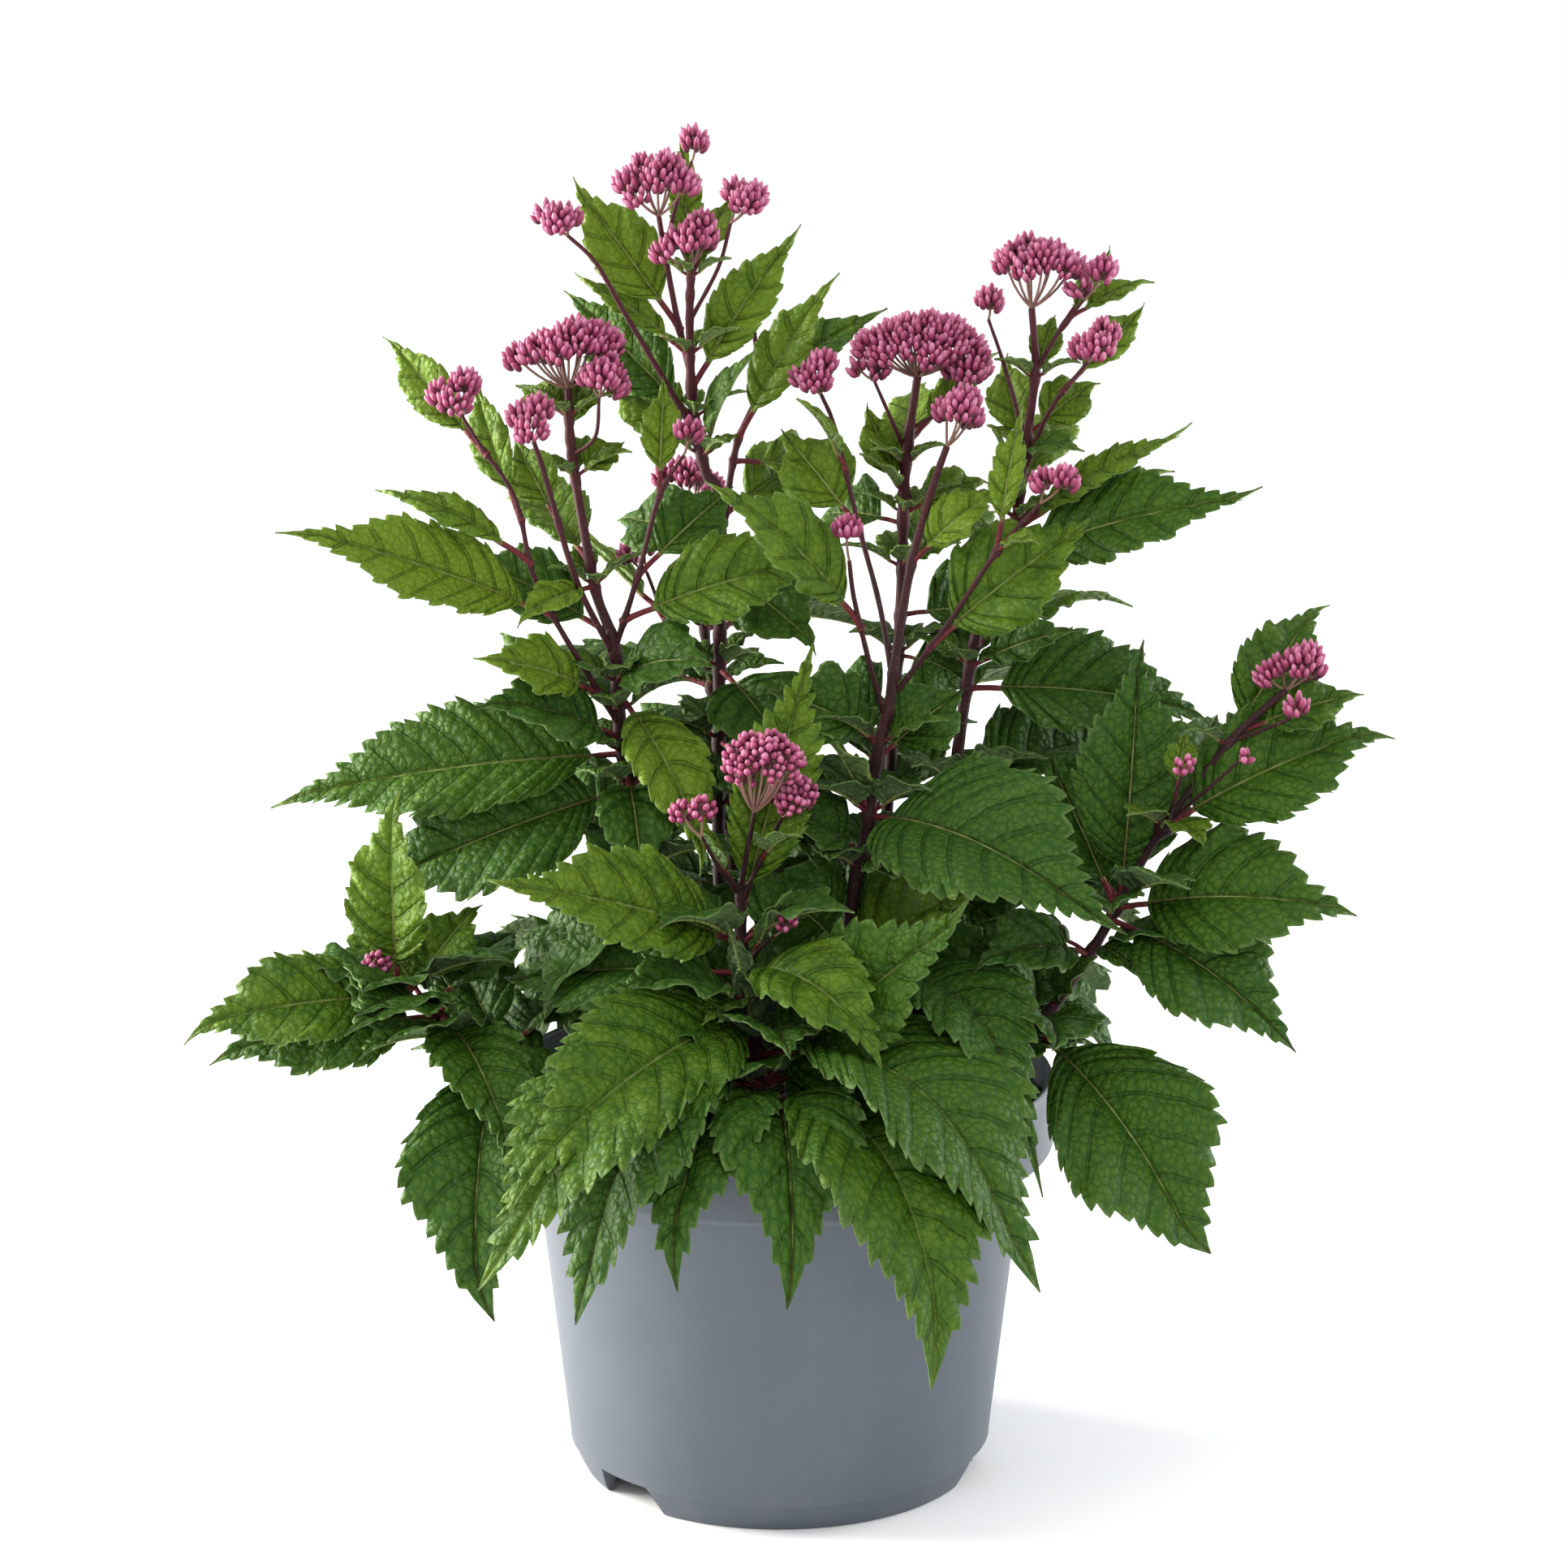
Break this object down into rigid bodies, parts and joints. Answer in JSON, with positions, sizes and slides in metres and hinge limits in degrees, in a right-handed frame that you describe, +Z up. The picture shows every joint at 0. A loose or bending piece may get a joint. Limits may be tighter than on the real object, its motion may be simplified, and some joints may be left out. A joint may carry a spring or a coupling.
{
  "type": "potted eupatorium",
  "caption": "Bushy perennial with toothed pointed leaves on dark stems and domed heads of pink buds, in a round nursery pot.",
  "frame": {"origin": "centre of the flat face under the pot's foot, on the pot's axis", "axes": "+Z up along the pot's axis, -Y towards the side that the picture shows, +X to its right"},
  "size_m": [0.495, 0.3555, 0.56],
  "materials": {
    "pot_plastic": "satin",
    "soil": "rough",
    "foliage": "satin",
    "buds": "matte"
  },
  "bodies": {
    "root": {"pot": "pot_plastic", "soil": "soil", "leafy_stem_back": "foliage", "leafy_stem_centre": "foliage", "leafy_stem_front": "foliage", "leafy_stem_high": "foliage", "leafy_stem_left": "foliage", "leafy_stem_low_left": "foliage", "leafy_stem_low_right": "foliage", "leafy_stem_right": "foliage", "leafy_stem_tall": "foliage", "flower_head_back_main": "buds", "flower_head_back_second": "buds", "flower_head_centre_inner": "buds", "flower_head_centre_low": "buds", "flower_head_centre_main": "buds", "flower_head_centre_right": "buds", "flower_head_front_low": "buds", "flower_head_front_main": "buds", "flower_head_front_side": "buds", "flower_head_high_main": "buds", "flower_head_left_inner": "buds", "flower_head_left_main": "buds", "flower_head_left_outer": "buds", "flower_head_left_second": "buds", "flower_head_low_left_main": "buds", "flower_head_low_right_first": "buds", "flower_head_low_right_main": "buds", "flower_head_low_right_second": "buds", "flower_head_low_right_under": "buds", "flower_head_right_inner": "buds", "flower_head_right_main": "buds", "flower_head_right_outer": "buds", "flower_head_tall_main": "buds", "flower_head_tall_outer": "buds", "flower_head_tall_right": "buds", "flower_head_tall_second": "buds", "flower_head_tall_top": "buds", "flower_head_tall_young": "buds"}
  },
  "joints": []
}
